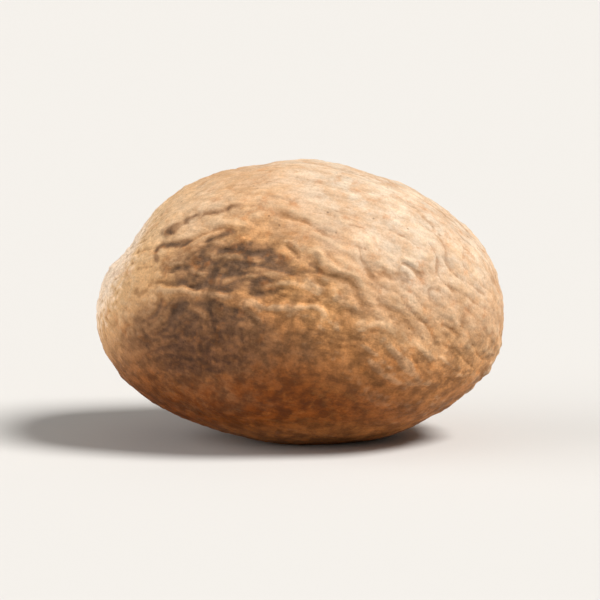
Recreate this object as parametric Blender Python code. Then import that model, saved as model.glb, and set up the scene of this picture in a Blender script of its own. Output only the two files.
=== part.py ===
"""Whole nutmeg: a dried seed kernel in one solid, lying on its side on a small flat spot.

The kernel lies along X, with the hilum, its pale scar, high at the -X end and the chalaza, its
dark pit, low at the +X end. The side that shows faces -Y. Everything is in metres.

The surface is one function of a direction on the unit sphere: an egg-shaped body with the broad
lobes that drying leaves, and on it the folds, the furrows, the scar, the pit and the raphe.
"""

import math

import bmesh
import bpy
import numpy as np

MM = 0.001

# Driving dimensions: the smooth body, before the lobes and folds.
LENGTH = 26.3 * MM
HEIGHT = 18.1 * MM
DEPTH = 17.7 * MM
TAPER = 0.02  # how much fuller the +X end is than the -X end, as a share of the radius
FLAT_DEPTH = 0.26 * MM  # how far the resting spot cuts into the underside
FLAT_CALM = 5.0 * MM  # the furrows fade out this far round the lowest point

CELLS = 24  # cells along one side of the cube that the sphere is made from
SMOOTH_ANGLE = math.radians(50)

# The two ends, as directions from the middle of the kernel.
HILUM = (-0.955, 0.06, 0.29)
CHALAZA = (0.87, 0.03, -0.49)

SCAR_RADIUS = 1.35 * MM
SCAR_HEIGHT = 0.24 * MM
MOAT_DEPTH = 0.14 * MM
COLLAR_RADIUS = 3.6 * MM
PIT_RADIUS = 0.90 * MM
PIT_DEPTH = 0.70 * MM
PIT_RIM_HEIGHT = 0.14 * MM
PIT_GROOVES = 9
PIT_GROOVE_DEPTH = 0.09 * MM

# The raphe is the shallow groove from end to end, on the far side.
RAPHE_ANGLE = math.radians(158)
RAPHE_WIDTH = 1.1 * MM
RAPHE_DEPTH = 0.34 * MM

# Broad lobes: direction, angular width in degrees, height.
LOBES = (
    ((-0.88, -0.02, 0.45), 22, -1.30 * MM),
    ((0.66, -0.15, -0.72), 32, 0.48 * MM),
    ((0.70, -0.05, 0.68), 32, -0.62 * MM),
    ((-0.20, 0.95, 0.25), 38, -0.30 * MM),
    ((0.60, 0.70, 0.35), 30, 0.20 * MM),
    ((-0.60, 0.65, -0.45), 30, 0.20 * MM),
)

# Folds of the near side: a route as (along, up) from the middle in millimetres, height, width.
# A route's places are those seen from the front and SIGHT_TILT above the level.
SIGHT_TILT = math.radians(10)
FOLDS = (
    # The long crest across the middle, and the furrow above it.
    (((-9.6, 0.3), (-8.1, 0.6), (-4.7, 0.3), (-1.6, -0.3), (1.2, -0.7), (2.5, -1.8)), 0.26 * MM, 0.50 * MM),
    (((-9.5, 1.0), (-6.1, 1.3), (-3.0, 1.5), (-1.0, 0.5), (0.8, 0.3)), -0.22 * MM, 0.50 * MM),
    # The crest that turns down to the right, and the furrow under it.
    (((-1.4, 3.8), (0.8, 3.6), (2.7, 2.6), (3.9, 2.2), (4.9, 0.7), (5.5, -0.3)), 0.28 * MM, 0.55 * MM),
    (((-0.2, 3.3), (2.1, 2.0), (3.3, 1.6), (4.3, 0.4)), -0.24 * MM, 0.50 * MM),
    # The furrows above the dark patches, and the crests towards the pit.
    (((-8.2, 5.0), (-6.1, 5.9), (-3.6, 6.1)), -0.18 * MM, 0.50 * MM),
    (((-2.4, 6.2), (-0.4, 5.5), (2.1, 4.4)), 0.20 * MM, 0.55 * MM),
    (((5.3, 5.0), (7.3, 3.7), (9.2, 1.7), (10.8, -0.6)), -0.16 * MM, 0.55 * MM),
    (((3.3, -1.5), (5.7, -1.7), (8.4, -2.9), (10.6, -4.9)), 0.20 * MM, 0.60 * MM),
)
FOLD_STEPS = 12  # samples along each span of a route
FOLD_FADE = 0.12  # share of a fold's length over which it rises at either end

# Furrows run from end to end, and their crests wander. Dimples are broad and even all round.
FURROW_SPACING = 2.5 * MM
FURROW_DEPTH = 0.20 * MM
FURROW_STRETCH = 3.2  # how many times longer than wide a furrow is drawn out
FURROW_WANDER = 0.5 * MM
VALLEY_SOFTNESS = 0.25
DIMPLE_SPACING = 7.0 * MM
DIMPLE_HEIGHT = 0.07 * MM
WAVE_COUNT = 48
FURROW_SEED = 11
DIMPLE_SEED = 12

BROWN = (0.46, 0.27, 0.13, 1.0)
ROUGHNESS = 0.62


def unit(vectors):
    """Vectors scaled to length 1."""
    vectors = np.asarray(vectors, float)
    return vectors / np.linalg.norm(vectors, axis=-1, keepdims=True)


def bump(distance, width):
    """A smooth bump, 1 in the middle and near 0 at twice its width."""
    return np.exp(-((distance / width) ** 2))


def sphere_mesh(cells):
    """A cube of cells by cells squares on each side, blown up to the unit sphere."""
    mesh = bmesh.new()
    bmesh.ops.create_cube(mesh, size=2.0)
    bmesh.ops.subdivide_edges(mesh, edges=mesh.edges[:], cuts=cells - 1, use_grid_fill=True)
    for vertex in mesh.verts:
        # Equal angles along each side keep the cells nearly the same size.
        vertex.co = [math.tan(c * math.pi / 4) for c in vertex.co]
        vertex.co.normalize()
    return mesh


def body_point(d):
    """The smooth body in the directions d: an ellipsoid whose girth grows towards +X."""
    girth = 1 + TAPER * d[:, 0]
    return np.stack([d[:, 0] * LENGTH, d[:, 1] * girth * DEPTH, d[:, 2] * girth * HEIGHT], axis=1) / 2


def body_normal(d):
    """The outward normal of the ellipsoid in the directions d."""
    return unit(d / np.array([LENGTH, DEPTH, HEIGHT]))


def distance_from(points, way):
    """How far the points are from the body's point in the direction way."""
    return np.linalg.norm(points - body_point(unit([way])), axis=1)


def near_side_points(along, up):
    """The points of the body's near side at these places, in millimetres, as seen along the sight line.

    A sight line meets the body where (x / a)^2 + (y / b)^2 + (z / c)^2 is 1, at the nearer root.
    """
    x = along * MM
    up = up * MM
    girth = 1 + TAPER * 2 * x / LENGTH
    depth, height = girth * DEPTH / 2, girth * HEIGHT / 2
    sine, cosine = math.sin(SIGHT_TILT), math.cos(SIGHT_TILT)
    square = cosine**2 / depth**2 + sine**2 / height**2
    middle = up * sine * cosine * (1 / depth**2 - 1 / height**2)
    rest = (up * sine / depth) ** 2 + (up * cosine / height) ** 2 + (2 * x / LENGTH) ** 2 - 1
    reach = (-middle - np.sqrt(np.maximum(middle**2 - square * rest, 0))) / square
    return np.stack([x, up * sine + reach * cosine, up * cosine - reach * sine], axis=1)


def random_waves(points, spacing, stream):
    """Unit-strength ripples of one spacing: the sum of plane waves that run every way."""
    ways = unit(stream.normal(size=(WAVE_COUNT, 3))) * (2 * math.pi / spacing)
    starts = stream.uniform(0, 2 * math.pi, WAVE_COUNT)
    return np.cos(points @ ways.T + starts).sum(axis=1) * math.sqrt(2 / WAVE_COUNT)


def end_to_end(d):
    """(angle from the hilum, angle round the kernel), which is 0 on the near side, 90 on top.

    The directions are sheared so that both ends come to lie on the X axis.
    """
    share = (d[:, :1] + 1) / 2
    shift = (1 - share) * np.array(HILUM[1:]) + share * np.array(CHALAZA[1:])
    straight = unit(np.hstack([d[:, :1], d[:, 1:] - shift]))
    return np.arccos(np.clip(-straight[:, 0], -1, 1)), np.arctan2(straight[:, 2], -straight[:, 1])


def lobes(d):
    """The broad lobes and hollows."""
    height = np.zeros(len(d))
    for way, width, rise in LOBES:
        angle = np.degrees(np.arccos(np.clip(d @ unit(way), -1, 1)))
        height += rise * bump(angle, width)
    return height


def folds(points):
    """The folds of the near side: each is a bump across the line through its route."""
    height = np.zeros(len(points))
    for route, rise, width in FOLDS:
        knots = np.array(route)
        spans = len(knots) - 1
        at = np.linspace(0, spans, spans * FOLD_STEPS + 1)
        line = near_side_points(*(np.interp(at, range(spans + 1), knots[:, k]) for k in (0, 1)))
        gaps = np.linalg.norm(points[:, None] - line[None], axis=2)
        share = gaps.argmin(axis=1) / (len(line) - 1)
        fade = np.clip(np.minimum(share, 1 - share) / FOLD_FADE, 0, 1)
        height += rise * fade * bump(gaps.min(axis=1), width)
    return height


def furrows(points, d):
    """Rounded crests with narrow valleys, drawn out from end to end and calm at the ends."""
    stream = np.random.default_rng(FURROW_SEED)
    from_hilum, around = end_to_end(d)
    girth = np.sin(from_hilum) * HEIGHT / 2
    drawn_out = np.stack(
        [from_hilum * LENGTH / 2 / FURROW_STRETCH, girth * np.cos(around), girth * np.sin(around)], axis=1
    )
    wander = np.stack([random_waves(points, DIMPLE_SPACING, stream) for _ in range(3)], axis=1)
    ripples = random_waves(drawn_out + FURROW_WANDER * wander, 2 * FURROW_SPACING, stream)
    crests = np.tanh(np.sqrt(ripples**2 + VALLEY_SOFTNESS**2))
    calm = (
        (1 - bump(distance_from(points, HILUM), COLLAR_RADIUS))
        * (1 - bump(distance_from(points, CHALAZA), 2 * PIT_RADIUS))
        * (1 - bump(distance_from(points, (0, 0, -1)), FLAT_CALM))
    )
    return calm * FURROW_DEPTH * (crests - crests.mean())


def dimples(points):
    """Broad, shallow unevenness."""
    return DIMPLE_HEIGHT * random_waves(points, DIMPLE_SPACING, np.random.default_rng(DIMPLE_SEED))


def hilum(points):
    """The raised scar, with a ring-shaped hollow round it."""
    away = distance_from(points, HILUM)
    scar = SCAR_HEIGHT * np.exp(-((away / SCAR_RADIUS) ** 4))
    return scar - MOAT_DEPTH * bump(away - 1.7 * SCAR_RADIUS, 0.5 * SCAR_RADIUS)


def chalaza(points, d):
    """The pit, its rim and the grooves that run out of it."""
    away = distance_from(points, CHALAZA)
    around = end_to_end(d)[1]
    grooves = np.cos(PIT_GROOVES * around) * bump(away - 3.4 * PIT_RADIUS, 1.8 * PIT_RADIUS)
    rim = bump(away - 2.1 * PIT_RADIUS, 0.9 * PIT_RADIUS)
    return PIT_RIM_HEIGHT * rim - PIT_DEPTH * bump(away, PIT_RADIUS) + PIT_GROOVE_DEPTH * grooves


def raphe(d):
    """The groove from end to end on the far side."""
    from_hilum, around = end_to_end(d)
    off = np.angle(np.exp(1j * (around - RAPHE_ANGLE))) * np.sin(from_hilum) * HEIGHT / 2
    return -RAPHE_DEPTH * bump(off, RAPHE_WIDTH) * np.sin(from_hilum) ** 0.5


def kernel_points(d):
    """The kernel's surface in the directions d."""
    points = body_point(d)
    height = lobes(d) + dimples(points) + folds(points) + furrows(points, d)
    height += hilum(points) + chalaza(points, d) + raphe(d)
    return points + body_normal(d) * height[:, None]


def build_kernel():
    """Makes the kernel's mesh, cuts its resting spot and stands it on the origin."""
    mesh = sphere_mesh(CELLS)
    directions = np.array([vertex.co[:] for vertex in mesh.verts])
    for vertex, point in zip(mesh.verts, kernel_points(directions)):
        vertex.co = point
    floor = min(vertex.co.z for vertex in mesh.verts) + FLAT_DEPTH
    cut = bmesh.ops.bisect_plane(
        mesh,
        geom=mesh.verts[:] + mesh.edges[:] + mesh.faces[:],
        plane_co=(0, 0, floor),
        plane_no=(0, 0, -1),
        clear_outer=True,
    )
    rim = [edge for edge in cut["geom_cut"] if isinstance(edge, bmesh.types.BMEdge)]
    bmesh.ops.holes_fill(mesh, edges=rim, sides=0)
    bmesh.ops.recalc_face_normals(mesh, faces=mesh.faces[:])
    places = np.array([vertex.co[:] for vertex in mesh.verts])
    middle = (places.min(axis=0) + places.max(axis=0)) / 2
    bmesh.ops.translate(mesh, verts=mesh.verts[:], vec=(-middle[0], -middle[1], -floor))
    data = bpy.data.meshes.new("nutmeg")
    mesh.to_mesh(data)
    mesh.free()
    return data


def build_material():
    """The brown of the dry kernel."""
    material = bpy.data.materials.new("nutmeg_brown")
    material.use_nodes = True
    shader = material.node_tree.nodes["Principled BSDF"]
    shader.inputs["Base Color"].default_value = BROWN
    shader.inputs["Roughness"].default_value = ROUGHNESS
    shader.inputs["Metallic"].default_value = 0.0
    return material


def main():
    """Clears the scene and adds the nutmeg."""
    for old in list(bpy.data.objects):
        bpy.data.objects.remove(old)
    data = build_kernel()
    data.materials.append(build_material())
    data.shade_smooth()
    data.set_sharp_from_angle(angle=SMOOTH_ANGLE)
    nutmeg = bpy.data.objects.new("nutmeg", data)
    bpy.context.scene.collection.objects.link(nutmeg)


main()
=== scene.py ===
"""Looks of a whole nutmeg: the wrinkled skin of the kernel, its finish, and the studio round it.

Everything is in metres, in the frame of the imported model: +X runs from the pale scar (the hilum)
to the dark pit (the chalaza), -Y is the side that shows, and +Z is up from the resting spot.

The skin is one closed surface. A direction on the unit sphere gives a place on a smooth egg, and
the skin's height over that place, along the egg's normal, is a sum of named fields: the lobes and
furrows of drying, the raphe, the scar, the pit, the folds, the puckers, the veins and the pores.
"""

from __future__ import annotations

import logging
import math
from dataclasses import dataclass
from enum import Enum

import bpy
import numpy as np
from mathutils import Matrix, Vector
from numpy.typing import NDArray

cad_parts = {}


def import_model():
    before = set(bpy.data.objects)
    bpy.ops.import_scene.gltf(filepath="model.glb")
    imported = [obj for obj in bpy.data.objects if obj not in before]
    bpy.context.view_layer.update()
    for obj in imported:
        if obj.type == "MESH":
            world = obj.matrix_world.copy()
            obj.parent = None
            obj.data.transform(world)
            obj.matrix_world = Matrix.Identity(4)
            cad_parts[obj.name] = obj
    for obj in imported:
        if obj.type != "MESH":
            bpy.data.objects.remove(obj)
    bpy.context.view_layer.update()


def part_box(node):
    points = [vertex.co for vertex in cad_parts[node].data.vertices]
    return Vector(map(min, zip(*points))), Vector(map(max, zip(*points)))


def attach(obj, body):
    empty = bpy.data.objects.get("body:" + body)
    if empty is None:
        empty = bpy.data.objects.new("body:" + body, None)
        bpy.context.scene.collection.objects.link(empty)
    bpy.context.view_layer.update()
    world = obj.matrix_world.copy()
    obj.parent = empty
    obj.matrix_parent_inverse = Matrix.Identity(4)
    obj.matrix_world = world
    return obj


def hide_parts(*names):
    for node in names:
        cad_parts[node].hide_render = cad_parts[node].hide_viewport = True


Array = NDArray[np.float64]
Whole = NDArray[np.int64]
Spot = tuple[float, float]
Span = tuple[float, float]
Triple = tuple[float, float, float]
Color = tuple[float, float, float, float]
Socket = bpy.types.NodeSocket
Inputs = dict[str | int, object]

LOG = logging.getLogger("nutmeg")
MM = 0.001
NODE = "nutmeg"


def unit(vectors: Array) -> Array:
    """Vectors scaled to length 1."""
    vectors = np.asarray(vectors, float)
    return vectors / np.linalg.norm(vectors, axis=-1, keepdims=True)


def bump(distance: Array, width: float) -> Array:
    """A smooth bump, exp(-(distance / width)^2): 1 in the middle and near 0 at twice its width."""
    return np.exp(-((distance / width) ** 2))


def smooth_step(values: Array, low: float, high: float) -> Array:
    """0 up to low and 1 from high on, with the cubic 3t^2 - 2t^3 between them."""
    t = np.clip((values - low) / (high - low), 0, 1)
    return t * t * (3 - 2 * t)


def random_waves(
    points: Array, spacing: float, stream: np.random.Generator, count: int = 48, spread: float = 0.0
) -> Array:
    """Ripples of unit strength: a sum of plane waves that run every way.

    Args:
        points: Where the ripples are wanted, one row each.
        spacing: The waves' length, in the points' own units.
        stream: The random numbers that the waves' ways and phases are drawn from.
        count: How many waves are summed.
        spread: How far a wave's length may differ from spacing, as a share of it.

    Returns:
        sqrt(2 / count) times the sum of cos(way . point + phase), one number for each point.
    """
    ways = unit(stream.normal(size=(count, points.shape[1]))) * (2 * math.pi / spacing)
    phases = stream.uniform(0, 2 * math.pi, count)
    if spread:
        ways = ways * stream.uniform(1 - spread, 1 + spread, (count, 1))
    return np.cos(points @ ways.T + phases).sum(axis=1) * math.sqrt(2 / count)


def scatter(cells: Whole, seed: int) -> Array:
    """Three numbers from 0 to 1 for each cell of a whole-number lattice, the same each run.

    Args:
        cells: The cells, one row of three whole numbers each.
        seed: Which set of numbers.

    Returns:
        The cell's three whole numbers times large primes, joined by exclusive or and stirred with
        shifts and products modulo 2^32.
    """
    x, y, z = cells.astype(np.uint64).T
    mixed = (x * np.uint64(73856093)) ^ (y * np.uint64(19349663)) ^ (z * np.uint64(83492791))
    mixed = (mixed ^ np.uint64(seed * 97531)) & np.uint64(0xFFFFFFFF)
    columns = []
    for _ in range(3):
        mixed = ((mixed ^ (mixed >> np.uint64(15))) * np.uint64(2246822519)) & np.uint64(0xFFFFFFFF)
        mixed = ((mixed ^ (mixed >> np.uint64(13))) * np.uint64(3266489917)) & np.uint64(0xFFFFFFFF)
        mixed = mixed ^ (mixed >> np.uint64(16))
        columns.append(mixed / 2.0**32)
    return np.stack(columns, axis=1)


def cell_pattern(points: Array, seed: int) -> tuple[Array, Array, Array]:
    """Random cells about one unit wide, each round one seed point of a jittered lattice.

    Args:
        points: Where the pattern is wanted, in units of a cell's width.
        seed: Which pattern.

    Returns:
        (distance to the nearest seed, distance to the nearest wall, a number from 0 to 1 for the
        cell). A wall lies halfway between two seeds, so its distance is the least, over the other
        seeds, of the middle of the two seeds projected on the line that joins them.
    """
    home = np.floor(points).astype(np.int64)
    sides = np.arange(-1, 2)
    steps = np.stack(np.meshgrid(sides, sides, sides, indexing="ij"), axis=-1).reshape(-1, 3)
    seeds = np.stack([home + step + scatter(home + step, seed) - points for step in steps])
    nearest = (seeds**2).sum(axis=2).argmin(axis=0)
    near = seeds[nearest, np.arange(len(points))]
    across = seeds - near
    width = np.linalg.norm(across, axis=2)
    halfway = ((seeds + near) / 2 * across).sum(axis=2) / np.maximum(width, 1e-9)
    halfway[width < 1e-9] = np.inf
    tone = scatter(home + steps[nearest], seed + 1)[:, 0]
    return np.linalg.norm(near, axis=1), halfway.min(axis=0), tone


@dataclass(frozen=True)
class Lobe:
    """A broad swelling or hollow: its direction, its angular width in degrees and its height."""

    way: Triple
    width: float
    rise: float

    def height(self, d: Array) -> Array:
        """rise times a bump of the angle between d and the lobe's way."""
        angle = np.degrees(np.arccos(np.clip(d @ unit(self.way), -1, 1)))
        return self.rise * bump(angle, self.width)


@dataclass(frozen=True)
class Egg:
    """The smooth kernel before it dries: an ellipsoid whose girth grows a little towards +X."""

    length: float = 26.3 * MM
    depth: float = 17.7 * MM
    height: float = 18.1 * MM
    taper: float = 0.02
    sight_tilt: float = math.radians(10)
    hilum: Triple = (-0.955, 0.06, 0.29)
    chalaza: Triple = (0.87, 0.03, -0.49)
    arch_top: float = -2.5 * MM
    arch_radius: float = 10.0 * MM

    def point(self, d: Array) -> Array:
        """The egg's points in given directions.

        Args:
            d: The directions, one unit vector a row.

        Returns:
            Each half side times d, and across X also times the girth, 1 + taper * x.
        """
        girth = 1 + self.taper * d[:, 0]
        x, y, z = d[:, 0] * self.length, d[:, 1] * girth * self.depth, d[:, 2] * girth * self.height
        return np.stack([x, y, z], axis=1) / 2

    def normal(self, d: Array) -> Array:
        """The ellipsoid's outward normals: d over the three sides, scaled to length 1."""
        return unit(d / np.array([self.length, self.depth, self.height]))

    def near_side(self, along: Array, up: Array) -> Array:
        """The egg's points at places that are named as they are seen.

        Args:
            along: Places to the right of the middle.
            up: Places above the middle, across the sight line, which falls by sight_tilt.

        Returns:
            Where the sight lines meet (x / a)^2 + (y / b)^2 + (z / c)^2 = 1, at the nearer root.
        """
        girth = 1 + self.taper * 2 * along / self.length
        b, c = girth * self.depth / 2, girth * self.height / 2
        sine, cosine = math.sin(self.sight_tilt), math.cos(self.sight_tilt)
        square = cosine**2 / b**2 + sine**2 / c**2
        middle = up * sine * cosine * (1 / b**2 - 1 / c**2)
        rest = (up * sine / b) ** 2 + (up * cosine / c) ** 2 + (2 * along / self.length) ** 2 - 1
        reach = (-middle - np.sqrt(np.maximum(middle**2 - square * rest, 0))) / square
        return np.stack([along, up * sine + reach * cosine, up * cosine - reach * sine], axis=1)

    def ends_straightened(self, d: Array) -> tuple[Array, Array]:
        """Angles about an axis through the hilum and the chalaza.

        Args:
            d: The directions, which are sheared so that both ends come to lie on the X axis.

        Returns:
            (angle from the hilum, angle round the kernel). The second is 0 on the near side and a
            quarter turn on top.
        """
        share = (d[:, :1] + 1) / 2
        shift = (1 - share) * np.array(self.hilum[1:]) + share * np.array(self.chalaza[1:])
        straight = unit(np.hstack([d[:, :1], d[:, 1:] - shift]))
        from_hilum = np.arccos(np.clip(-straight[:, 0], -1, 1))
        return from_hilum, np.arctan2(straight[:, 2], -straight[:, 1])


class Places:
    """The places on the egg where the skin is worked out, and what its fields ask of them."""

    SEED = 61
    UNEVEN_SPACING = 1.6 * MM
    WAVER = ((0.075 * MM, 2.0 * MM), (0.018 * MM, 0.8 * MM))  # the reach and spacing of each ripple

    def __init__(self, egg: Egg, d: Array) -> None:
        """Works out the points, normals, end distances, seen places and unevenness.

        Args:
            egg: The smooth kernel.
            d: The directions of the places, one unit vector a row.
        """
        self.egg = egg
        self.d = d
        self.points = egg.point(d)
        self.normals = egg.normal(d)
        self.from_hilum, self.around = egg.ends_straightened(d)
        self.to_hilum = self.distance_to(egg.hilum)
        self.to_chalaza = self.distance_to(egg.chalaza)
        sine, cosine = math.sin(egg.sight_tilt), math.cos(egg.sight_tilt)
        self.seen_along = self.points[:, 0]
        self.seen_up = self.points[:, 1] * sine + self.points[:, 2] * cosine
        self.facing = self.normals @ np.array([0.0, -cosine, sine])
        stream = np.random.default_rng(self.SEED)
        self.unevenness = self.ripples(self.UNEVEN_SPACING, stream)
        wavers = [sum(r * self.ripples(spacing, stream) for r, spacing in self.WAVER) for _ in range(3)]
        self.waver = np.stack(wavers, axis=1)

    def ripples(self, spacing: float, stream: np.random.Generator, spread: float = 0.3) -> Array:
        """Random waves of that spacing at every place."""
        return random_waves(self.points, spacing, stream, spread=spread)

    def distance_to(self, way: Triple) -> Array:
        """How far each place is from the egg's point in the direction way."""
        return np.linalg.norm(self.points - self.egg.point(unit([way])), axis=1)

    def drawn_out(self, stretch: float, pinch: float) -> Array:
        """Coordinates in which a round ripple comes out drawn from end to end.

        Args:
            stretch: How many times longer than wide the ripples become.
            pinch: The power of the sine that the girth follows. Under 1, ripples run together
                towards the ends.

        Returns:
            (distance from the hilum over stretch, girth times the cosine and sine of the angle
            round), where girth is half the height times sin(angle from the hilum)^pinch.
        """
        girth = np.sin(self.from_hilum) ** pinch * self.egg.height / 2
        along = self.from_hilum * self.egg.length / 2 / stretch
        return np.stack([along, girth * np.cos(self.around), girth * np.sin(self.around)], axis=1)

    def arched(self, stretch: float) -> Array:
        """Coordinates in which a round ripple comes out drawn along the near side's arching lines.

        Args:
            stretch: How many times longer than wide the ripples become.

        Returns:
            (along over stretch, up + (along - the arch's top)^2 over twice its radius).
        """
        off = self.seen_along - self.egg.arch_top
        arch = self.seen_up + off**2 / (2 * self.egg.arch_radius)
        return np.stack([self.seen_along / stretch, arch], axis=1)


@dataclass(frozen=True)
class Oval:
    """A soft oval on the near side: its middle and half sizes in millimetres, and its weight."""

    along: float
    up: float
    half_along: float
    half_up: float
    weight: float = 1.0

    def share(self, places: Places) -> Array:
        """How much of the oval each place has.

        Args:
            places: The places on the egg.

        Returns:
            weight * exp(-r^4 / 2), where r is the distance from the middle over the half sizes,
            and 0 on the far side.
        """
        along = (places.seen_along - self.along * MM) / (self.half_along * MM)
        up = (places.seen_up - self.up * MM) / (self.half_up * MM)
        reach = along**2 + up**2
        return self.weight * (np.exp(-(reach**2) / 2) * smooth_step(places.facing, -0.3, 0.1))


class Profile(Enum):
    """The cross-sections that a fold can have."""

    CREST = "crest"  # a rounded rise
    CREASE = "crease"  # a narrow valley
    LIP = "lip"  # a rise with a narrow valley along its upper side

    def fold(self, rise: float, width: float, *route: Spot) -> Fold:
        """A fold with this cross-section, its sizes and its route in millimetres."""
        return Fold(self, rise * MM, width * MM, route)

    def across(self, distance: Array, above: Array, width: Array) -> Array:
        """The cross-section's height, for a rise of 1.

        Args:
            distance: How far each place is from the fold's line.
            above: The same, but less than 0 under the line.
            width: The fold's width there.

        Returns:
            For a crest, 0.72 exp(-(distance / width)^1.6) and 0.28 of a wide bump, with a hollow
            under it. For a crease, -exp(-(distance / width)^1.3), with a low rise under it. For a
            lip, 0.6 of a bump and 0.4 of a shelf that falls off slowly below, less the valley.
        """
        if self is Profile.CREST:
            hollow = 0.34 * bump(above + 1.9 * width, 0.75 * width)
            wide = 0.28 * bump(distance, 2.8 * width)
            return 0.72 * np.exp(-((distance / width) ** 1.6)) + wide - hollow
        if self is Profile.CREASE:
            rise = 0.22 * bump(above + 2.0 * width, 1.2 * width)
            return rise - np.exp(-((distance / width) ** 1.3))
        valley = bump(above - 1.5 * width, 0.7 * width)
        shelf = np.where(above < 0, bump(above, 2.4 * width), bump(above, width))
        return 0.6 * bump(distance, width) + 0.4 * shelf - 0.65 * valley


@dataclass(frozen=True)
class Fold:
    """A fold of the skin along a route, whose places are in millimetres as seen from the front."""

    profile: Profile
    rise: float
    width: float
    route: tuple[Spot, ...]
    steps: int = 10
    fade: float = 0.22
    uneven_rise: float = 0.3
    uneven_width: float = 0.18
    reach: float = 6.0  # how far from its line the fold is worked out, in widths

    def line(self, egg: Egg) -> Array:
        """The route as a smooth line on the egg.

        Args:
            egg: The smooth kernel.

        Returns:
            Points of the Catmull-Rom curve through the route's places, one row each.
        """
        knots = np.array(self.route, float)
        knots = np.vstack([2 * knots[0] - knots[1], knots, 2 * knots[-1] - knots[-2]])
        t = np.linspace(0, 1, self.steps, endpoint=False)[:, None]
        a, b, c, e = knots[:-3, None], knots[1:-2, None], knots[2:-1, None], knots[3:, None]
        square = (2 * a - 5 * b + 4 * c - e) * t**2
        curve = (2 * b + (c - a) * t + square + (3 * b - a - 3 * c + e) * t**3) / 2
        curve = np.vstack([curve.reshape(-1, 2), knots[-2]]) * MM
        return egg.near_side(curve[:, 0], curve[:, 1])

    def nearness(self, places: Places, width: float) -> Array:
        """How near the fold's line each place is.

        Args:
            places: The places on the egg.
            width: How far to the side the nearness falls to 1 / e.

        Returns:
            1 on the line, fading to 0 at about twice that width beside it.
        """
        points = places.points + places.waver
        gaps = np.linalg.norm(points[:, None] - self.line(places.egg)[None, ::2], axis=2)
        return bump(gaps.min(axis=1), width)

    def height(self, places: Places) -> Array:
        """The fold's height at every place.

        Args:
            places: The places on the egg.

        Returns:
            rise times the profile across the line, uneven along it and faded at both ends.
        """
        line = self.line(places.egg)
        margin = self.reach * self.width
        low, high = line.min(axis=0) - margin, line.max(axis=0) + margin
        near = np.all((places.points > low) & (places.points < high), axis=1)
        points = places.points[near] + places.waver[near]
        gaps = np.linalg.norm(points[:, None] - line[None], axis=2)
        nearest = gaps.argmin(axis=1)
        share = nearest / (len(line) - 1)
        strength = smooth_step(np.minimum(share, 1 - share), -0.04, self.fade)
        strength = strength * (1 + self.uneven_rise * places.unevenness[near])
        width = self.width * (1 - self.uneven_width * places.unevenness[near])
        distance = gaps.min(axis=1)
        upward = np.cross(places.normals[near], np.gradient(line, axis=0)[nearest])
        above = np.sign(((points - line[nearest]) * upward).sum(axis=1)) * distance
        height = np.zeros(len(places.points))
        height[near] = self.rise * strength * self.profile.across(distance, above, width)
        return height


def near_folds(places: Places, folds: tuple[Fold, ...], width: float) -> Array:
    """1 along the folds' lines, fading to 0 at about twice that width beside them."""
    return np.minimum(sum(fold.nearness(places, width) for fold in folds), 1)


crest, crease, lip = (profile.fold for profile in Profile)

LOBES = (
    Lobe((-0.88, -0.02, 0.45), 22, -1.30 * MM),
    Lobe((0.66, -0.15, -0.72), 32, 0.48 * MM),
    Lobe((0.70, -0.05, 0.68), 32, -0.62 * MM),
    Lobe((-0.20, 0.95, 0.25), 38, -0.30 * MM),
    Lobe((0.60, 0.70, 0.35), 30, 0.20 * MM),
    Lobe((-0.60, 0.65, -0.45), 30, 0.20 * MM),
)

LONG_CREST = (
    lip(0.13, 0.32, (-10.0, 0.0), (-9.0, 0.7), (-7.6, 0.62), (-6.1, 0.52), (-4.7, 0.35), (-3.6, 0.1)),
    lip(
        0.13, 0.28, (-4.1, 0.4), (-2.8, -0.1), (-1.0, -0.35), (0.8, -0.45), (1.7, -0.9),
        (2.4, -1.6), (2.5, -2.3),
    ),
)

# Creases along which the patches' grey-brown is laid as painted shade.
SHADE_PAINTED_CREASES = (
    crease(0.09, 0.30, (-7.6, 4.9), (-6.6, 5.3), (-5.3, 5.6), (-3.9, 5.8)),
    crease(0.06, 0.30, (-8.5, 4.5), (-8.2, 4.55), (-8.0, 4.6)),
    crease(0.09, 0.30, (-9.0, 2.7), (-8.9, 3.3), (-8.2, 3.6), (-7.1, 3.65)),
    crease(0.11, 0.30, (-6.0, 3.5), (-5.2, 4.0), (-4.2, 4.3)),
    crease(0.14, 0.30, (-4.9, 3.1), (-3.6, 3.2), (-2.4, 3.1), (-1.3, 2.6)),
    crease(0.13, 0.26, (-5.6, 1.5), (-4.6, 1.7), (-3.6, 2.1), (-2.6, 2.3)),
)

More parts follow.
